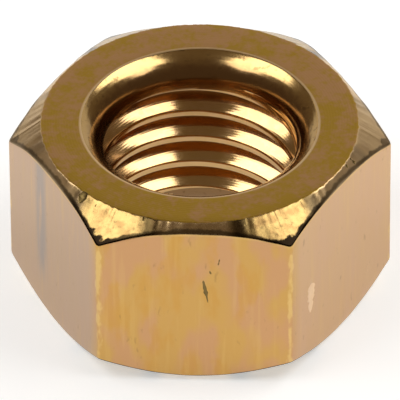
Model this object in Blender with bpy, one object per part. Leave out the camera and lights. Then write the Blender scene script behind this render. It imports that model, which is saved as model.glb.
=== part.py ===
"""Hex nut, M12 coarse thread, turned and tapped from one length of brass hexagon bar.

The nut stands on its lower bearing face: Z is the thread's axis, the origin is on
that axis in the plane of the lower face, and two of the six wrench flats face -Y and +Y.
"""
import math

import bmesh
import bpy

MM = 0.001

# Hexagon body
ACROSS_FLATS = 17.75 * MM               # wrench size 18, made inside its tolerance
HEIGHT = 10.5 * MM                      # from bearing face to bearing face
CHAMFER_INSET = 0.85 * MM               # across flats less the diameter of the bearing face
CHAMFER_ANGLE = math.radians(34.0)      # fall of the corner chamfers below the bearing faces

# Thread, right-hand, 60 degree flanks
THREAD_DIAMETER = 12.0 * MM             # at the roots, the size that the bolt is called by
THREAD_PITCH = 1.75 * MM
BORE_ALLOWANCE = 0.144 * MM             # tapping hole above the basic minor diameter
THREAD_PHASE = math.radians(154.0)      # turns the thread about its axis

# Countersinks that lead the bolt in
COUNTERSINK_OVERSIZE = 1.0 * MM         # rim diameter above the thread diameter
COUNTERSINK_ANGLE = math.radians(45.0)  # slope of the cone below the bearing face

# Fineness of the round faces
STEPS_PER_TURN = 60
CHAMFER_STEPS = 120
OVERRUN = 1.0 * MM                      # how far each cutter passes the face that it leaves by
SHORTEST_EDGE = 0.002 * MM              # crossings of the cuts that lie closer than this are made one

CORNER_RADIUS = ACROSS_FLATS / math.sqrt(3)
HALF_FLANK = math.radians(30.0)
ROOT_FLAT = THREAD_PITCH / 8
BASIC_MINOR_DROP = 1.25 * math.cos(HALF_FLANK) * THREAD_PITCH
MAJOR_RADIUS = THREAD_DIAMETER / 2
MINOR_RADIUS = (THREAD_DIAMETER - BASIC_MINOR_DROP + BORE_ALLOWANCE) / 2


def make_object(name, bm):
    """Put a bmesh into a new object of the scene, with its round faces smooth."""
    bmesh.ops.recalc_face_normals(bm, faces=bm.faces)
    mesh = bpy.data.meshes.new(name)
    bm.to_mesh(mesh)
    bm.free()
    mesh.shade_smooth()
    mesh.set_sharp_from_angle(angle=math.radians(25.0))
    obj = bpy.data.objects.new(name, mesh)
    bpy.context.scene.collection.objects.link(obj)
    return obj


def turned(name, outline, steps):
    """Turn a closed solid about Z from an outline of (radius, height) points, both ends on the axis."""
    bm = bmesh.new()
    verts = [bm.verts.new((radius, 0.0, height)) for radius, height in outline]
    edges = [bm.edges.new(pair) for pair in zip(verts, verts[1:])]
    bmesh.ops.spin(bm, geom=verts + edges, cent=(0, 0, 0), axis=(0, 0, 1),
                   angle=math.tau, steps=steps, use_merge=True)
    bmesh.ops.remove_doubles(bm, verts=bm.verts, dist=0.00001 * MM)
    return make_object(name, bm)


def as_cutter(obj):
    """Mark an object as a guide that only shapes another one."""
    obj.hide_render = True
    obj.display_type = "WIRE"
    return obj


def hexagon_bar():
    """One length of hexagon bar, cut off at the nut's height."""
    bm = bmesh.new()
    angles = [index * math.tau / 6 for index in range(6)]
    base = bm.faces.new([bm.verts.new((CORNER_RADIUS * math.cos(angle), CORNER_RADIUS * math.sin(angle), 0.0))
                         for angle in angles])
    raised = bmesh.ops.extrude_face_region(bm, geom=[base])
    top_verts = [item for item in raised["geom"] if isinstance(item, bmesh.types.BMVert)]
    bmesh.ops.translate(bm, verts=top_verts, vec=(0, 0, HEIGHT))
    return make_object("hex_nut", bm)


def chamfer_envelope():
    """The turned shape that leaves both ends of the bar with a round bearing face and cut corners."""
    face_radius = (ACROSS_FLATS - CHAMFER_INSET) / 2
    outer_radius = CORNER_RADIUS + OVERRUN
    rise = OVERRUN
    fall = (outer_radius - face_radius) * math.tan(CHAMFER_ANGLE)
    inner_radius = face_radius - rise / math.tan(CHAMFER_ANGLE)
    outline = [
        (0.0, HEIGHT + rise),
        (inner_radius, HEIGHT + rise),
        (outer_radius, HEIGHT - fall),
        (outer_radius, fall),
        (inner_radius, -rise),
        (0.0, -rise),
    ]
    return as_cutter(turned("chamfer_envelope", outline, CHAMFER_STEPS))


def countersink(name, face_height, outward):
    """A cone that opens the bore at one bearing face; outward is +1 at the top and -1 below."""
    rim_radius = (THREAD_DIAMETER + COUNTERSINK_OVERSIZE) / 2
    tip_radius = MINOR_RADIUS - OVERRUN
    slope = math.tan(COUNTERSINK_ANGLE)
    outside = face_height + outward * OVERRUN
    tip = face_height - outward * (rim_radius - tip_radius) * slope
    outline = [
        (0.0, outside),
        (rim_radius + OVERRUN / slope, outside),
        (tip_radius, tip),
        (0.0, tip),
    ]
    return as_cutter(turned(name, outline, STEPS_PER_TURN))


def tap():
    """The solid that a tap sweeps: a core of the bore's diameter with one helical ridge round it."""
    flank_run = (MAJOR_RADIUS - MINOR_RADIUS) * math.tan(HALF_FLANK)
    ridge = [
        (MINOR_RADIUS, 0.0),
        (MAJOR_RADIUS, flank_run),
        (MAJOR_RADIUS, flank_run + ROOT_FLAT),
        (MINOR_RADIUS, 2 * flank_run + ROOT_FLAT),
    ]
    lowest = -OVERRUN - 2 * THREAD_PITCH
    turns = math.ceil((HEIGHT - 2 * lowest) / THREAD_PITCH)
    last = turns * STEPS_PER_TURN

    bm = bmesh.new()
    rows = []
    for step in range(last + 1):
        turn = step / STEPS_PER_TURN
        angle = THREAD_PHASE + turn * math.tau
        height = lowest + turn * THREAD_PITCH
        rows.append([bm.verts.new((radius * math.cos(angle), radius * math.sin(angle), height + rise))
                     for radius, rise in ridge])

    for step in range(last):
        here, there = rows[step], rows[step + 1]
        for point in range(len(ridge) - 1):
            bm.faces.new((here[point], there[point], there[point + 1], here[point + 1]))
    for step in range(last - STEPS_PER_TURN):
        here, there = rows[step], rows[step + 1]
        above, beyond = rows[step + STEPS_PER_TURN], rows[step + STEPS_PER_TURN + 1]
        bm.faces.new((here[-1], there[-1], beyond[0], above[0]))

    bottom_loop = [row[0] for row in rows[:STEPS_PER_TURN + 1]] + rows[0][:0:-1]
    top_loop = [row[-1] for row in rows[last - STEPS_PER_TURN:]] + rows[last][:-1][::-1]
    for loop, height in ((bottom_loop, lowest), (top_loop, lowest + (turns + 1) * THREAD_PITCH)):
        hub = bm.verts.new((0.0, 0.0, height))
        for near, far in zip(loop, loop[1:] + loop[:1]):
            bm.faces.new((hub, near, far))
    return as_cutter(make_object("tap", bm))


def brass():
    """Bare cut brass, satin from the tool."""
    material = bpy.data.materials.new("brass")
    material.use_nodes = True
    shader = material.node_tree.nodes["Principled BSDF"]
    shader.inputs["Base Color"].default_value = (0.60, 0.38, 0.13, 1.0)
    shader.inputs["Metallic"].default_value = 1.0
    shader.inputs["Roughness"].default_value = 0.32
    return material


def combine(body, other, operation):
    """Add a Boolean modifier that keeps the body's shared space with the other, or cuts the other out."""
    boolean = body.modifiers.new(other.name, "BOOLEAN")
    boolean.object = other
    boolean.operation = operation
    boolean.solver = "EXACT"


for old in list(bpy.data.objects):
    bpy.data.objects.remove(old, do_unlink=True)

nut = hexagon_bar()
nut.data.materials.append(brass())
combine(nut, chamfer_envelope(), "INTERSECT")
combine(nut, countersink("countersink_top", HEIGHT, 1), "DIFFERENCE")
combine(nut, countersink("countersink_bottom", 0.0, -1), "DIFFERENCE")
combine(nut, tap(), "DIFFERENCE")
nut.modifiers.new("clean_crossings", "WELD").merge_threshold = SHORTEST_EDGE
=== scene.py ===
import math

import bmesh
import bpy
import numpy as np
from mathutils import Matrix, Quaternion, Vector, noise


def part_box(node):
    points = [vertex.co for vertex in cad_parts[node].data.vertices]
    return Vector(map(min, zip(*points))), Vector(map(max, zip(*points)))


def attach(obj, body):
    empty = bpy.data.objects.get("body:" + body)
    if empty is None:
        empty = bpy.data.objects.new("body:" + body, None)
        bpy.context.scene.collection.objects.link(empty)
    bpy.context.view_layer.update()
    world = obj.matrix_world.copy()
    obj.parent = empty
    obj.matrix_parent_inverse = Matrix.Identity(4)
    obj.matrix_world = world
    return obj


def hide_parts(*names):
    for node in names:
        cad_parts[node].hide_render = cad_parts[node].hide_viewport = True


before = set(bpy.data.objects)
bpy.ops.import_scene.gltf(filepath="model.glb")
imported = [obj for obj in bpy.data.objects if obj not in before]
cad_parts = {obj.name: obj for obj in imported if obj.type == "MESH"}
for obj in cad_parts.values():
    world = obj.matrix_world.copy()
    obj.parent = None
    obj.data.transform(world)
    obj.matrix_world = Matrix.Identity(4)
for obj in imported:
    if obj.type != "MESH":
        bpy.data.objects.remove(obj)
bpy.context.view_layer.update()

# ---------------------------------------------------------------------------------------
# The blank: a length of drawn hexagon brass bar, faced off at both ends on the lathe. Each
# end has its six corners cut back to a round bearing face, and its bore opened by a
# countersink whose walls steepen towards the thread.
# ---------------------------------------------------------------------------------------

MM = 0.001
nut_low, nut_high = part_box("hex_nut")
HEIGHT = (nut_high.z - nut_low.z) / MM      # sizes are in millimetres until a mesh is made
FLAT = (nut_high.y - nut_low.y) / 2 / MM    # from the axis to a wrench flat
SIDES = 6
SECTOR = math.tau / SIDES
FACE_EDGE = FLAT - 0.425                    # where a bearing face meets the chamfers
UPPER_CHAMFER = math.tan(math.radians(34))  # fall of a chamfer for each step outwards
LOWER_CHAMFER = math.tan(math.radians(37))
RIM = 6.33                                  # countersink at the bearing face
CREST = 5.125                               # radius of the drilled hole, left on the thread's crests
PILOT = 4.6                                 # plain hole that the tap opens further
MOUTH_SLOPE = math.tan(math.radians(31))    # of the countersink at its rim, upright at its foot
THROAT = 1.85                               # depth of that foot, where the crests begin
MID_FALL = 0.2                              # extra fall where a chamfer's arc is highest on a flat
CORNER_ROUND = 0.3                          # of the six upright edges of the drawn bar
CORNER_WEAR = (0.04, 0.03, 0.05, 0.30, 0.2, 0.02)    # extra fall of each upper corner
WEAR_SPREAD = math.radians(9)               # of that wear to either side of a corner
CUT_WANDER = 0.03                           # how far the upper chamfers' cut rises and falls
FACE_WANDER = 0.05                          # the same for the ragged edge of the upper face
HOLLOW_DEPTH = 0.012                        # of the shallow hollows that drawing leaves in a flat
HOLLOWS_ACROSS = 4                          # how often they come across the bar
HOLLOWS_ALONG = 0.25                        # and how often along it
FLAT_COLUMNS = 36                           # of points on each half of a flat
CORNER_COLUMNS = 8                          # more of them, closer together, beside its corner
FUNNEL_ROWS = 12                            # of points down a countersink
THREAD_STEP = 0.1                           # from a countersink's foot inwards to the plain hole

FACE, CHAMFER, SIDE, COUNTERSINK, THREAD, MARK = range(6)


def ripple(angle, rate, layer=0.0):
    """Smooth noise, about -0.5 to 0.5, that closes on itself round the axis."""
    return noise.noise(Vector((math.cos(angle), math.sin(angle), layer)) * rate)


def column_angles():
    """Angles round the nut, closer together at the six corners than along the flats."""
    half_flat = math.tan(SECTOR / 2)
    near_corner = 0.92 * half_flat
    across = np.concatenate([
        np.linspace(0, near_corner, FLAT_COLUMNS, endpoint=False),
        np.linspace(near_corner, half_flat, CORNER_COLUMNS, endpoint=False),
    ])
    lean = np.arctan(across)
    sector = np.concatenate([[-SECTOR / 2], -lean[:0:-1], lean])
    return np.concatenate([sector + SECTOR / 2 + side * SECTOR for side in range(SIDES)])


def bar_radius(angles):
    """Distance from the axis to the side of the bar, whose corners are slightly round."""
    lean = np.abs(angles % SECTOR - SECTOR / 2)
    straight = FLAT / np.cos(lean)
    centre = (FLAT - CORNER_ROUND) / math.cos(SECTOR / 2)
    off = SECTOR / 2 - lean
    inside = np.maximum(CORNER_ROUND ** 2 - (centre * np.sin(off)) ** 2, 0)
    rounded = centre * np.cos(off) + np.sqrt(inside)
    tangent = math.atan((FLAT - CORNER_ROUND) * math.tan(SECTOR / 2) / FLAT)
    return np.where(lean > tangent, rounded, straight)


def corner_wear(angles):
    """How much further down each corner has been cut and knocked back."""
    worn = np.zeros_like(angles)
    for corner, depth in enumerate(CORNER_WEAR):
        off = (angles - corner * SECTOR + math.pi) % math.tau - math.pi
        worn += depth * np.exp(-(off / WEAR_SPREAD) ** 2)
    return worn


def drawn_hollow(angle, height):
    """How far a drawn flat, which is never quite flat, lies inside its plane."""
    place = Vector((math.cos(angle) * HOLLOWS_ACROSS, math.sin(angle) * HOLLOWS_ACROSS,
                    height * HOLLOWS_ALONG))
    return HOLLOW_DEPTH * (0.7 + 0.6 * noise.noise(place))


def outline_rows(corners, softness, bends, straights, finishes):
    """Rows of points round a closed outline whose corners are softened by short curves.

    corners holds a (radius, height) for every column of every corner, softness how far each
    curve starts from its corner, bends and straights how many rows each curve and each run
    after it is cut into, and finishes what each run is finished as.
    """
    rows = []
    slots = []
    count = len(corners)

    def ends(index):
        here = corners[index]
        back = corners[index - 1] - here
        ahead = corners[(index + 1) % count] - here
        reach = softness[index][:, None]
        back = back / np.linalg.norm(back, axis=1)[:, None]
        ahead = ahead / np.linalg.norm(ahead, axis=1)[:, None]
        return here + back * reach, here + ahead * reach

    for index in range(count):
        start, finish = ends(index)
        for share in np.linspace(0, 1, bends[index] + 1):
            pull = 2 * share * (1 - share)
            rows.append((1 - share) ** 2 * start + pull * corners[index] + share ** 2 * finish)
            past_middle = share >= 0.5 or not bends[index]
            slots.append(finishes[index] if past_middle else finishes[index - 1])
        following = ends((index + 1) % count)[0]
        for share in np.linspace(0, 1, straights[index] + 1)[1:-1]:
            rows.append(finish + (following - finish) * share)
            slots.append(finishes[index])
    return np.array(rows), slots


def turned_skin(name, angles, rows, slots):
    """A closed skin of four-sided faces from rows of (radius, height) round the axis."""
    row_count, column_count = rows.shape[:2]
    x = rows[:, :, 0] * np.cos(angles)
    y = rows[:, :, 0] * np.sin(angles)
    points = np.stack([x, y, rows[:, :, 1]], axis=-1).reshape(-1, 3)
    faces = []
    finishes = []
    for row in range(row_count):
        above = (row + 1) % row_count
        for column in range(column_count):
            beside = (column + 1) % column_count
            faces.append((row * column_count + column, row * column_count + beside,
                          above * column_count + beside, above * column_count + column))
            finishes.append(slots[row])
    mesh = bpy.data.meshes.new(name)
    mesh.from_pydata((points * MM).tolist(), [], faces)
    mesh.polygons.foreach_set("material_index", finishes)
    return mesh


def blank_mesh():
    """The blank turned round its outline, from the bore out over the upper end and back."""
    angles = column_angles()
    side = bar_radius(angles)
    even = np.ones_like(angles)
    torn = np.array([ripple(angle, 26) + 0.6 * ripple(angle, 60, 0.5) for angle in angles])
    rolled = np.array([ripple(angle, 9) for angle in angles])
    mid_flat = np.cos((angles % SECTOR - SECTOR / 2) * SIDES / 2) ** 2
    upper_face = FACE_EDGE + FACE_WANDER * torn
    upper_fall = ((side - FACE_EDGE) * UPPER_CHAMFER + MID_FALL * mid_flat + corner_wear(angles)
                  + CUT_WANDER * rolled)
    lower_fall = (side - FACE_EDGE) * LOWER_CHAMFER
    funnel = []     # (radius, depth) of the countersink's curve from its foot to its rim
    for share in np.linspace(1, 0, FUNNEL_ROWS, endpoint=False):
        depth = 2 * share * (1 - share) * (RIM - CREST) * MOUTH_SLOPE + share ** 2 * THROAT
        funnel.append((CREST + (RIM - CREST) * (1 - share) ** 2, depth))

    def ring(radius, height):
        return np.stack([radius * even, height * even], axis=-1)

    outline = [(ring(PILOT, THROAT + THREAD_STEP), 0, 0, 1, COUNTERSINK)]
    outline += [(ring(radius, depth), 0, 0, 1, COUNTERSINK) for radius, depth in funnel]
    outline += [    # corner, softness, rows in its curve, rows in the run after it, finish of that run
        (ring(RIM, 0), 0.07, 4, 3, FACE),
        (ring(FACE_EDGE, 0), 0.1, 3, 4, CHAMFER),
        (ring(side, lower_fall), 0.14 + 0.05 * rolled, 5, 16, SIDE),
        (ring(side, HEIGHT - upper_fall), 0.15 + 0.08 * rolled + 0.06 * mid_flat, 6, 9, CHAMFER),
        (ring(upper_face, HEIGHT), 0.08 + 0.04 * torn, 4, 4, FACE),
        (ring(RIM, HEIGHT), 0.07, 5, 1, COUNTERSINK),
    ]
    outline += [(ring(radius, HEIGHT - depth), 0, 0, 1, COUNTERSINK) for radius, depth in funnel[::-1]]
    outline += [(ring(PILOT, HEIGHT - THROAT - THREAD_STEP), 0, 0, 2, THREAD)]
    corners, softness, bends, straights, finishes = zip(*outline)
    softness = [soft * even for soft in softness]
    rows, slots = outline_rows(corners, softness, bends, straights, finishes)
    for row, slot in enumerate(slots):
        if slot == SIDE:
            heights = rows[row, :, 1]
            rows[row, :, 0] -= [drawn_hollow(angle, height) for angle, height in zip(angles, heights)]
    return turned_skin("hex_nut_brass", angles, rows, slots)


class Signal:
    """A value, colour or vector on its way through a finish's nodes."""

    def __init__(self, tree, socket):
        self.tree = tree
        self.socket = socket

    def node(self, kind, settings, inputs, output=None):
        """Add a node, set it up, feed its sockets, and return its first output or the one named."""
        added = self.tree.nodes.new(kind)
        for key, value in settings.items():
            setattr(added, key, value)
        for key, value in inputs.items():
            if isinstance(key, str):
                socket = next(s for s in added.inputs if key in (s.identifier, s.name) and s.enabled)
            else:
                socket = added.inputs[key]
            if isinstance(value, Signal):
                self.tree.links.new(value.socket, socket)
            else:
                socket.default_value = value
        return Signal(self.tree, next(s for s in added.outputs if s.enabled and output in (None, s.name)))

    def maths(self, operation, *others):
        values = dict(enumerate((self,) + others))
        return self.node("ShaderNodeMath", {"operation": operation}, values)

    def __add__(self, other):
        return self.maths("ADD", other)

    __radd__ = __add__

    def __mul__(self, other):
        return self.maths("MULTIPLY", other)

    __rmul__ = __mul__

    def __sub__(self, other):
        return self.maths("SUBTRACT", other)

    def __rsub__(self, other):
        return self.node("ShaderNodeMath", {"operation": "SUBTRACT"}, {0: other, 1: self})

    def __abs__(self):
        return self.maths("ABSOLUTE")

    def ease(self, low, high):
        """0 below low, 1 above high, and smooth between."""
        return self.node("ShaderNodeMapRange", {"interpolation_type": "SMOOTHSTEP"},
                         {"Value": self, "From Min": low, "From Max": high})

    def mix(self, one, other):
        """One colour where this is 0, and the other where it is 1."""
        return self.node("ShaderNodeMix", {"data_type": "RGBA"},
                         {"Factor_Float": self, "A_Color": one, "B_Color": other})

    def stretch(self, x, y, z):
        """Scale a place along its axes."""
        return self.node("ShaderNodeVectorMath", {"operation": "MULTIPLY"}, {0: self, 1: (x, y, z)})

    def grain(self, scale, detail=2.0, layer=0.0):
        """Cloudy noise from 0 to 1 at a place, another pattern for each layer."""
        moved = self.node("ShaderNodeVectorMath", {"operation": "ADD"}, {0: self, 1: (layer, layer, layer)})
        return self.node("ShaderNodeTexNoise", {}, {"Vector": moved, "Scale": scale, "Detail": detail})


class Finish:
    """A brass surface, with the places in millimetres that its patterns follow."""

    def __init__(self, name):
        self.material = bpy.data.materials.new(name)
        self.material.use_nodes = True
        self.tree = self.material.node_tree
        self.shader = self.tree.nodes["Principled BSDF"]
        self.shader.inputs["Metallic"].default_value = 1.0
        metres = Signal(self.tree, None).node("ShaderNodeTexCoord", {}, {}, "Object")
        self.place = metres.stretch(1 / MM, 1 / MM, 1 / MM)
        self.x, self.y, self.z = (self.place.node("ShaderNodeSeparateXYZ", {}, {0: self.place}, axis)
                                  for axis in "XYZ")
        self.radius = (self.x * self.x + self.y * self.y).maths("SQRT")

    def across(self):
        """How far out a place is towards the nearest wrench flat, which lies at FLAT."""
        slanted = abs(self.x) * math.cos(SECTOR / 2) + abs(self.y) * math.sin(SECTOR / 2)
        return abs(self.y).maths("MAXIMUM", slanted)

    def mid_flat(self):
        """1 above the middle of each flat, falling to 0 at the corners."""
        turn = self.y.maths("ARCTAN2", self.x)
        return 0.5 - (turn * SIDES).maths("COSINE") * 0.5

    def set(self, colour, roughness, relief, strength, depth):
        """Finish the surface; strength is how far its relief of this depth in mm turns the light."""
        bump = relief.node("ShaderNodeBump", {}, {"Height": relief, "Strength": strength,
                                                  "Distance": depth * MM})
        for value, name in ((colour, "Base Color"), (roughness, "Roughness"), (bump, "Normal")):
            self.tree.links.new(value.socket, self.shader.inputs[name])
        return self.material


def face_finish():
    """Faced on the lathe: fine rings round the axis under dull olive and tan, bare along the rim, where the
    pale colour also paints the rim's highlight line.
    """
    made = Finish("brass_face")
    clouds = made.place.grain(1.1, detail=4.0)
    specks = made.place.grain(4.0, detail=3.0, layer=5.0)
    rings = (made.radius * 42 + made.place.grain(0.8) * 5).maths("SINE")
    olive = (0.49, 0.30, 0.038, 1.0)
    tan = (0.55, 0.31, 0.13, 1.0)
    bare = (0.78, 0.56, 0.30, 1.0)
    colour = (clouds * 0.65 + specks * 0.35 + made.y * 0.007).ease(0.40, 0.64).mix(olive, tan)
    # Pale brass along the rim: partly polish, partly a painted highlight line round the rim.
    polished_rim_and_highlight = 1 - (made.radius - RIM).ease(0.07, 0.14)
    colour = polished_rim_and_highlight.mix(colour, bare)
    return made.set(colour, specks * 0.12 + 0.32, rings * 0.2 + specks, strength=0.22, depth=0.02)


def chamfer_finish():
    """Cut across the grain: torn brass with dark oxidised pits, bright mid-flat, painted shade beside that
    and along its edge and tips for the dark surroundings it reflects, paler towards both sides.
    """
    made = Finish("brass_chamfer")
    tears = made.place.grain(1.7, detail=4.0)
    pits = made.place.grain(4.5, detail=3.0, layer=3.0)
    wander = made.place.grain(1.7, detail=3.0, layer=9.0) - 0.5
    mid_flat = made.mid_flat()
    bright = (0.49, 0.33, 0.12, 1.0)
    dull = (0.36, 0.22, 0.08, 1.0)
    bare = (0.80, 0.58, 0.33, 1.0)
    # Dark colour for the oxidised pits, and for the painted shade below.
    oxide_and_painted_shade = (0.014, 0.009, 0.005, 1.0)
    colour = tears.ease(0.42, 0.66).mix(bright, dull)
    colour = (pits.ease(0.60, 0.72) * 0.3).mix(colour, oxide_and_painted_shade)
    # Painted shade: dark bands beside the mid-flat, for the dark surroundings that the chamfers reflect
    # there.
    painted_dark_bands = (mid_flat + wander * 0.3).ease(0.24, 0.42) * (1 - mid_flat.ease(0.50, 0.75))
    colour = (painted_dark_bands * 0.78).mix(colour, oxide_and_painted_shade)
    colour = (mid_flat.ease(0.55, 0.80) * 0.5).mix(colour, bare)
    # Painted shade: a dark line along the chamfer's edge and dark tips at its corners, for the dark
    # reflections of the rounded edges.
    edge = (made.across() + wander * 0.3).ease(FLAT - 0.25, FLAT - 0.15)
    tip = (made.radius + wander * 1.2).ease(9.7, 9.85)
    # Paler brass, rougher, and weaker painted shade towards both sides.
    towards_sides = abs(made.x).ease(5.5, 7.5)
    colour = (towards_sides * 0.6).mix(colour, bare)
    # How much weaker the painted shade is at the front and towards both sides.
    thin = (1 - abs(made.x).ease(2.0, 4.6)) * 0.35 + towards_sides * 0.4
    colour = (edge.maths("MAXIMUM", tip) * (1 - thin)).mix(colour, oxide_and_painted_shade)
    roughness = pits * 0.12 + 0.2 + towards_sides * 0.08
    return made.set(colour, roughness, tears + pits * 0.5, strength=0.2, depth=0.04)


def side_finish():
    """Drawn through a die: faint lines along the bar over gold, rose and amber, ashy at both sides."""
    made = Finish("brass_side")
    lines = made.place.stretch(1, 1, 0.07).grain(3.0, detail=3.0)
    patches = made.place.stretch(1, 1, 0.45).grain(0.6, layer=2.0)
    warmth = made.place.stretch(1, 1, 0.4).grain(0.9, detail=3.0, layer=17.0)
    pits = made.place.stretch(1, 1, 0.4).grain(3.0, layer=29.0)
    gold = (0.585, 0.345, 0.105, 1.0)
    rose = (0.575, 0.32, 0.15, 1.0)
    amber = (0.58, 0.31, 0.07, 1.0)
    ash = (0.61, 0.385, 0.215, 1.0)
    slate = (0.33, 0.28, 0.25, 1.0)
    bare = (0.74, 0.51, 0.19, 1.0)
    dark = (0.30, 0.17, 0.07, 1.0)
    colour = patches.ease(0.42, 0.60).mix(gold, rose)
    colour = (warmth.ease(0.50, 0.66) * 0.6).mix(colour, amber)
    colour = (abs(made.x).ease(5.1, 5.7) * 0.8).mix(colour, ash)
    streak = (1 - abs(made.x + 8.35).ease(0.1, 0.42)) * made.z.ease(1.5, 4.0) * lines.ease(0.25, 0.5)
    grey = (1 - (made.x + 5.1).ease(-0.6, 0.0)) * 0.35
    colour = grey.mix(colour, slate)
    colour = (streak * 0.8).mix(colour, slate)
    colour = (lines.ease(0.50, 0.75) * 0.2).mix(colour, bare)
    colour = (pits.ease(0.66, 0.80) * 0.4).mix(colour, dark)
    # Pale brass along the upright corners and just under the chamfers: partly worn edges, partly painted
    # highlight lines along them.
    worn = (made.radius + pits * 0.4).ease(10.34, 10.42) * 0.7
    chamfer_height = HEIGHT + FACE_EDGE * UPPER_CHAMFER - made.radius * UPPER_CHAMFER
    below = chamfer_height - made.mid_flat() * MID_FALL - made.z
    worn = worn.maths("MAXIMUM", (1 - below.ease(0.08, 0.17)) * 0.4)
    colour = worn.mix(colour, bare)
    return made.set(colour, lines * 0.12 + 0.25, lines * 0.6 + pits, strength=0.15, depth=0.02)


def countersink_finish():
    """Turned by the countersinking tool: faint rings, browner towards the thread."""
    made = Finish("brass_countersink")
    rings = (made.radius * 30 + made.place.grain(0.7) * 4).maths("SINE")
    specks = made.place.grain(2.5, detail=3.0)
    mouth = (0.60, 0.40, 0.16, 1.0)
    throat = (0.32, 0.19, 0.085, 1.0)
    dark = (0.20, 0.11, 0.04, 1.0)
    colour = (made.radius + specks * 0.6).ease(5.7, 6.4).mix(throat, mouth)
    colour = (specks.ease(0.58, 0.70) * 0.6).mix(colour, dark)
    return made.set(colour, specks * 0.08 + 0.12, rings * 0.3 + specks, strength=0.1, depth=0.02)


def put(name, mesh):
    """Link a mesh to the scene as an object, with every face turned outwards."""
    bm = bmesh.new()
    bm.from_mesh(mesh)
    bmesh.ops.recalc_face_normals(bm, faces=bm.faces)
    if bm.calc_volume(signed=True) < 0:
        bmesh.ops.reverse_faces(bm, faces=bm.faces)
    bm.to_mesh(mesh)
    bm.free()
    obj = bpy.data.objects.new(name, mesh)
    bpy.context.scene.collection.objects.link(obj)
    return obj


nut = put("hex_nut_brass", blank_mesh())
for finish in (face_finish(), chamfer_finish(), side_finish(), countersink_finish()):
    nut.data.materials.append(finish)

# ---------------------------------------------------------------------------------------
# The thread: cut right through the brass of the bore by a tap, right-hand, with flanks that
# open wider than 60 degrees. Its crests are the flat remains of the drilled hole, its roots
# are slightly round, and the countersinks have taken its first and last turns away.
# ---------------------------------------------------------------------------------------

PITCH = 1.75
ROOT = 6.0                      # radius at the bottom of the grooves
STEPS = 180                     # round one turn
PHASE = math.radians(205)       # where round the bore the tap starts
FLANK_LEAN = math.radians(37)   # of each flank from square to the axis
FLANK_RUN = (ROOT - CREST) * math.tan(FLANK_LEAN)
ROOT_WIDTH = 0.05               # the flat left between two flanks
CREST_SOFTNESS = 0.08           # from a crest's edge to where it starts to turn
ROOT_SOFTNESS = 0.05            # the same at the roots
CURVE_POINTS = 4                # round each of these softened edges
TAP_OVERRUN = 4.5               # how far, at least, the tap goes past each face
RUN_OUT = (1.3, 1.9)            # depths between which the grooves grow to their full radius
SHRUNK = CREST - 0.03           # radius of the tap beyond them, where it cuts nothing
LEAST_GROWTH = 0.02             # share of its profile that the tap keeps there


def groove_profile():
    """(radius, rise) points over one pitch of the tap, from one crest to the next."""
    corners = np.array([
        (CREST, 0),
        (ROOT, FLANK_RUN),
        (ROOT, FLANK_RUN + ROOT_WIDTH),
        (CREST, 2 * FLANK_RUN + ROOT_WIDTH),
        (CREST, PITCH),
    ])
    before = np.concatenate([[corners[3] - (0, PITCH)], corners[:3]])
    after = corners[1:]
    cuts = (4, 2, 4, 2)         # rows along a flank, the root, a flank and the crest
    points = []
    for index in range(4):
        here = corners[index]
        back = before[index] - here
        ahead = after[index] - here
        reach = ROOT_SOFTNESS if index in (1, 2) else CREST_SOFTNESS
        start = here + back / np.linalg.norm(back) * reach
        finish = here + ahead / np.linalg.norm(ahead) * reach
        for share in np.linspace(0, 1, CURVE_POINTS):
            pull = 2 * share * (1 - share)
            points.append((1 - share) ** 2 * start + pull * here + share ** 2 * finish)
        for share in np.linspace(0, 1, cuts[index] + 1)[1:-1]:
            points.append(finish + (after[index] - finish) * share)
    return np.array(points)


def tap_mesh():
    """The space that the tap cuts: one closed screw, longer than the nut."""
    profile = groove_profile()
    width = len(profile)
    turns = math.ceil((HEIGHT + 2 * TAP_OVERRUN) / PITCH)
    last = turns * STEPS
    turned = np.arange(last + 1) / STEPS
    angles = (PHASE + turned * math.tau)[:, None]
    heights = -TAP_OVERRUN + (turned * PITCH)[:, None] + profile[:, 1]
    depth = np.minimum(heights, HEIGHT - heights)
    grown = np.clip((depth - RUN_OUT[0]) / (RUN_OUT[1] - RUN_OUT[0]), 0, 1)
    grown = grown * grown * (3 - 2 * grown)     # eased at both ends
    radius = SHRUNK + (profile[:, 0] - SHRUNK) * np.maximum(grown, LEAST_GROWTH)
    points = np.stack([radius * np.cos(angles), radius * np.sin(angles), heights], axis=-1)
    points = points.reshape(-1, 3).tolist()

    def at(step, point):
        return step * width + point

    faces = []
    for step in range(last):
        for point in range(width - 1):
            faces.append((at(step, point), at(step + 1, point),
                          at(step + 1, point + 1), at(step, point + 1)))
        if step < last - STEPS:
            faces.append((at(step, width - 1), at(step + 1, width - 1),
                          at(step + STEPS + 1, 0), at(step + STEPS, 0)))
    bottom = [at(step, 0) for step in range(STEPS + 1)]
    bottom += [at(0, point) for point in range(width - 1, 0, -1)]
    top = [at(step, width - 1) for step in range(last - STEPS, last + 1)]
    top += [at(last, point) for point in range(width - 2, -1, -1)]
    for loop, height in ((bottom, -TAP_OVERRUN), (top, (turns + 1) * PITCH - TAP_OVERRUN)):
        hub = len(points)
        points.append((0, 0, height))
        for near, far in zip(loop, loop[1:] + loop[:1]):
            faces.append((hub, near, far))
    mesh = bpy.data.meshes.new("tap")
    mesh.from_pydata((np.array(points) * MM).tolist(), [], faces)
    mesh.polygons.foreach_set("material_index", [THREAD] * len(faces))
    return mesh


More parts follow.
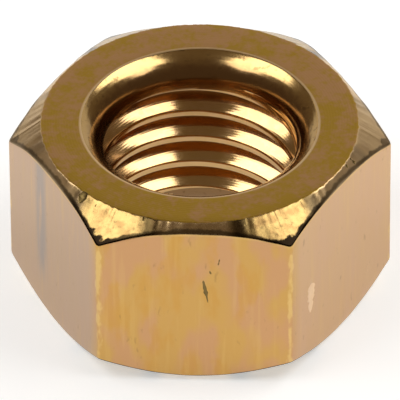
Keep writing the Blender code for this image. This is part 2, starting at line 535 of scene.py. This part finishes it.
def thread_finish():
    """Cut by the tap: clean warm brass with faint lines along the thread, painted paler towards the lower
    face for the light that comes up through the bore.
    """
    made = Finish("brass_thread")
    lines = (made.z * 40 + made.radius * 25 + made.place.grain(0.7) * 4).maths("SINE")
    specks = made.place.grain(2.5, detail=3.0)
    amber = (0.62, 0.39, 0.165, 1.0)
    rose = (0.65, 0.41, 0.20, 1.0)
    bare = (0.86, 0.59, 0.27, 1.0)
    colour = specks.ease(0.40, 0.62).mix(amber, rose)
    # Painted light: paler brass towards the lower face, for the light that comes up through the bore from
    # below.
    colour = ((1 - made.z.ease(2.5, 8.0)) * 0.6).mix(colour, bare)
    return made.set(colour, specks * 0.06 + 0.1, lines * 0.25 + specks, strength=0.08, depth=0.02)


nut.data.materials.append(thread_finish())
tap = put("tap", tap_mesh())

# ---------------------------------------------------------------------------------------
# Handling marks: small knocks and scratches from a nut that has lain loose in a bin. They
# are pressed into the brass, widest at one end and drawn out to a tail.
# ---------------------------------------------------------------------------------------

STATIONS = 12                   # rings along a mark
SPOKES = 12                     # points round each ring
SWELL = 2.6                     # makes a mark as wide as it says at its widest ring
RAGGED = 0.8                    # how far its width wanders from that
WANDERS = 4                     # and how often along the mark
SHARP_ANGLE = math.radians(32)  # faces that meet at more than this keep a crisp edge


def gouge(points, faces, start, along, outward, width, depth):
    """Add the shape that leaves one mark: a drop from its blunt start to the end of along."""
    across = along.cross(outward).normalized()
    first = len(points)
    for station in range(1, STATIONS):
        share = station / STATIONS
        swell = SWELL * math.sqrt(share) * (1 - share)
        swell *= 1 + RAGGED * noise.noise(start + along * share * WANDERS)
        middle = start + along * share
        for spoke in range(SPOKES):
            turn = spoke / SPOKES * math.tau
            points.append(middle + across * (math.cos(turn) * width / 2 * swell)
                          + outward * (math.sin(turn) * depth * swell))
    head = len(points)
    points += [start, start + along]
    for spoke in range(SPOKES):
        beside = (spoke + 1) % SPOKES
        faces.append((head, first + spoke, first + beside))
        final = first + (STATIONS - 2) * SPOKES
        faces.append((head + 1, final + beside, final + spoke))
        for ring in range(first, final, SPOKES):
            faces.append((ring + spoke, ring + beside, ring + SPOKES + beside, ring + SPOKES + spoke))


def on_side(side, sideways, height):
    """A place on a wrench flat, the way along it and its outward direction; side 0 follows corner 0."""
    turn = SECTOR / 2 + side * SECTOR
    outward = Vector((math.cos(turn), math.sin(turn), 0))
    tangent = Vector((-math.sin(turn), math.cos(turn), 0))
    return outward * FLAT + tangent * sideways + Vector((0, 0, height)), tangent, outward


def on_chamfer(turn, radius):
    """A place on an upper chamfer, the way down its slope and its outward direction."""
    spoke = Vector((math.cos(turn), math.sin(turn), 0))
    place = spoke * radius + Vector((0, 0, HEIGHT - (radius - FACE_EDGE) * UPPER_CHAMFER))
    downhill = (spoke - Vector((0, 0, UPPER_CHAMFER))).normalized()
    outward = (spoke * UPPER_CHAMFER + Vector((0, 0, 1))).normalized()
    return place, downhill, outward


def marks_mesh():
    """All the marks: those on the flats drift sideways as they fall, those on the chamfers don't."""
    points = []
    faces = []
    for side, sideways, height, drift, fall, width, depth in (
        (4, 0.46, 6.95, 0.28, 1.7, 0.2, 0.05),
        (4, 1.35, 8.4, -0.1, 0.5, 0.16, 0.02),
        (4, 0.8, 7.6, 0.1, 0.3, 0.14, 0.015),
        (4, -3.1, 6.2, 0.05, 0.7, 0.1, 0.01),
        (5, -3.06, 5.4, -0.12, 2.1, 0.72, 0.06),
        (1, -1.8, 7.2, 0.3, 1.4, 0.3, 0.04),
        (2, 2.1, 3.9, -0.2, 1.9, 0.22, 0.03),
        (0, 0.7, 5.6, 0.4, 1.1, 0.4, 0.04),
    ):
        start, tangent, outward = on_side(side, sideways, height)
        gouge(points, faces, start, tangent * drift - Vector((0, 0, fall)), outward, width, depth)
    for degrees, radius, length, width, depth in (
        (226.5, 8.35, 1.1, 0.55, 0.11),
        (233.0, 8.6, 0.5, 0.18, 0.04),
        (337.0, 8.5, 0.8, 0.22, 0.05),
        (341.0, 8.5, 0.9, 0.26, 0.06),
        (288.0, 8.45, 0.5, 0.12, 0.03),
        (252.0, 8.45, 0.4, 0.12, 0.03),
        (95.0, 8.4, 0.7, 0.3, 0.06),
    ):
        start, downhill, outward = on_chamfer(math.radians(degrees), radius)
        gouge(points, faces, start, downhill * length, outward, width, depth)
    mesh = bpy.data.meshes.new("marks")
    mesh.from_pydata([point * MM for point in points], [], faces)
    mesh.polygons.foreach_set("material_index", [MARK] * len(faces))
    return mesh


def mark_finish():
    """Inside a mark: grime, or bare pale metal in the broad ones low on the right."""
    made = Finish("brass_mark")
    specks = made.place.grain(3.0)
    grime = (0.20, 0.14, 0.05, 1.0)
    bare = (0.82, 0.58, 0.36, 1.0)
    colour = (made.x.ease(5.6, 5.9) * (1 - made.z.ease(5.6, 5.8))).mix(grime, bare)
    return made.set(colour, specks * 0.1 + 0.35, specks, strength=0.2, depth=0.02)


nut.data.materials.append(mark_finish())
marks = put("marks", marks_mesh())

for name, cutter in (("thread", tap), ("marks", marks)):
    for finish in nut.data.materials:
        cutter.data.materials.append(finish)
    cut = nut.modifiers.new(name, "BOOLEAN")
    cut.object = cutter
    cut.operation = "DIFFERENCE"
    cut.solver = "MANIFOLD"
nut.data = bpy.data.meshes.new_from_object(nut.evaluated_get(bpy.context.evaluated_depsgraph_get()))
nut.modifiers.clear()
bpy.data.objects.remove(tap)
bpy.data.objects.remove(marks)
nut.data.shade_smooth()
nut.data.set_sharp_from_angle(angle=SHARP_ANGLE)

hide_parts("hex_nut")
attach(nut, "root")

# ---------------------------------------------------------------------------------------
# The stage: matt white paper that glows a little under the nut, a softbox leaning in from
# each side, a dim panel standing behind, a dim warm room all round, and a camera with a long
# lens looking down on the front flat.
# ---------------------------------------------------------------------------------------

PAPER = 3.0                     # half its width, in metres, as are all sizes from here on
PAPER_DROP = 0.02 * MM          # keeps the paper off the bearing face
PAPER_GLOW = 0.47               # fills the shadows like the light of a white studio
SOFTBOX_REACH = 0.3             # from the y axis, which both softboxes lean about
SOFTBOX_RADIANCE = 3.1
ROOM_GLOW = 0.14
paper_mesh = bpy.data.meshes.new("paper")
paper_mesh.from_pydata([(-PAPER, -PAPER, -PAPER_DROP), (PAPER, -PAPER, -PAPER_DROP),
                        (PAPER, PAPER, -PAPER_DROP), (-PAPER, PAPER, -PAPER_DROP)], [], [(0, 1, 2, 3)])
paper = bpy.data.objects.new("paper", paper_mesh)
bpy.context.scene.collection.objects.link(paper)
matt_white = bpy.data.materials.new("matt_white")
matt_white.use_nodes = True
matt_shader = matt_white.node_tree.nodes["Principled BSDF"]
matt_shader.inputs["Base Color"].default_value = (0.9, 0.9, 0.9, 1.0)
matt_shader.inputs["Emission Color"].default_value = (0.94, 0.98, 1.0, 1.0)
matt_shader.inputs["Emission Strength"].default_value = PAPER_GLOW
matt_shader.inputs["Roughness"].default_value = 0.9
matt_shader.inputs["Specular IOR Level"].default_value = 0.0
paper_mesh.materials.append(matt_white)

middle = Vector((0, 0, HEIGHT / 2 * MM))


def panel(name, place, width, height, radiance):
    """A soft light at a place, facing the nut."""
    lamp = bpy.data.lights.new(name, "AREA")
    lamp.shape = "RECTANGLE"
    lamp.size = width
    lamp.size_y = height
    lamp.energy = radiance * math.pi * width * height
    obj = bpy.data.objects.new(name, lamp)
    bpy.context.scene.collection.objects.link(obj)
    obj.location = place
    obj.rotation_euler = (obj.location - middle).to_track_quat("Z", "Y").to_euler()


def softbox(name, inner, outer, front, back):
    """A softbox between two leans from upright, in degrees, and from its front to its back in y."""
    lean = math.radians(inner + outer) / 2
    height = 2 * SOFTBOX_REACH * math.tan(math.radians(outer - inner) / 2)
    place = (SOFTBOX_REACH * math.sin(lean), (front + back) / 2, SOFTBOX_REACH * math.cos(lean))
    panel(name, place, back - front, abs(height), SOFTBOX_RADIANCE)


softbox("softbox_left", inner=-23.0, outer=-46.5, front=-0.18, back=0.09)
softbox("softbox_right", inner=21.5, outer=47.5, front=-0.117, back=0.145)
panel("back_panel", place=(0.0, 0.5, 0.22), width=0.9, height=0.44, radiance=0.49)

studio = bpy.data.worlds.new("studio")
studio.use_nodes = True
room = studio.node_tree.nodes["Background"]
room.inputs["Color"].default_value = (1.0, 0.72, 0.45, 1.0)
room.inputs["Strength"].default_value = ROOM_GLOW
bpy.context.scene.world = studio

ELEVATION = math.radians(39.17) # of the camera above the paper
AZIMUTH = math.radians(2.16)    # of the camera round from straight in front of the nut
ROLL = math.radians(-0.35)      # of the camera about its line of sight
DISTANCE = 55.6 * FLAT * MM     # far enough for the nut's edges to stay almost parallel
SENSOR = 36.0                   # in millimetres, like the lens
LENS = 828.9
SHIFT = (-0.00025, -0.003575)   # shares of the frame's width
SIGHT_END = 10.0                # the camera sees nothing past this
camera_data = bpy.data.cameras.new("camera")
camera_data.sensor_width = SENSOR
camera_data.lens = LENS
camera_data.clip_end = SIGHT_END
camera_data.shift_x, camera_data.shift_y = SHIFT
camera = bpy.data.objects.new("camera", camera_data)
bpy.context.scene.collection.objects.link(camera)
sight = Vector((math.cos(ELEVATION) * math.sin(AZIMUTH), -math.cos(ELEVATION) * math.cos(AZIMUTH),
                math.sin(ELEVATION)))
camera.location = middle + DISTANCE * sight
camera.rotation_euler = (sight.to_track_quat("Z", "Y") @ Quaternion((0, 0, 1), ROLL)).to_euler()
bpy.context.scene.camera = camera
bpy.context.scene.view_settings.view_transform = "Standard"
